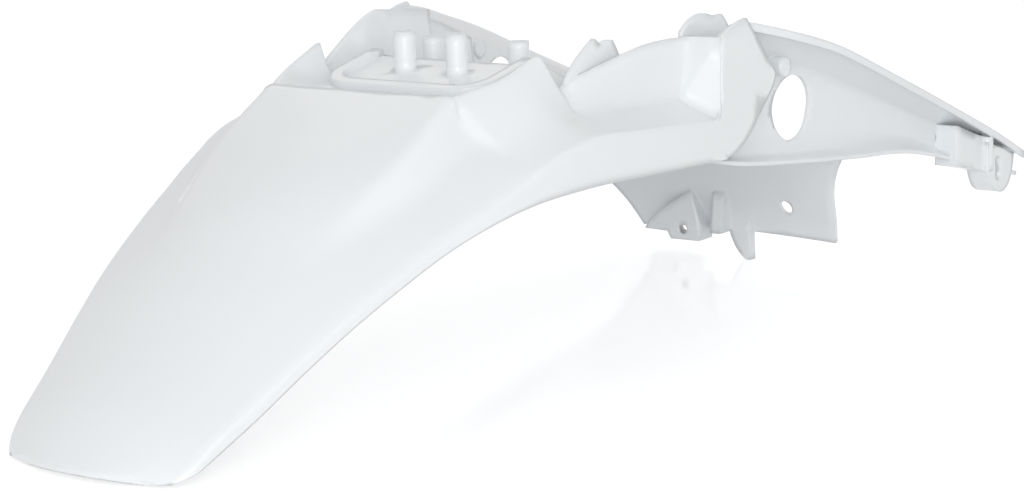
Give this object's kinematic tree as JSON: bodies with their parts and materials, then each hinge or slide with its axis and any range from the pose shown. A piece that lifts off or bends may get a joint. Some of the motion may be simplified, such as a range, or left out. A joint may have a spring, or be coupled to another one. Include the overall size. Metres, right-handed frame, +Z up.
{
  "type": "motorcycle rear fender",
  "caption": "One-piece moulded rear fender of an off-road motorcycle, with recessed side panels, long front arms and an inner mudguard.",
  "frame": {"origin": "on the surface that the fender lies on, under the middle of its length and width", "axes": "+X forward, from the tail to the tips of the arms; +Y to the left; +Z up"},
  "size_m": [0.859, 0.3164, 0.214],
  "materials": {
    "moulded_plastic": "glossy injection-moulded polypropylene, pigmented white"
  },
  "bodies": {
    "root": {"fender": "moulded_plastic"}
  },
  "joints": []
}
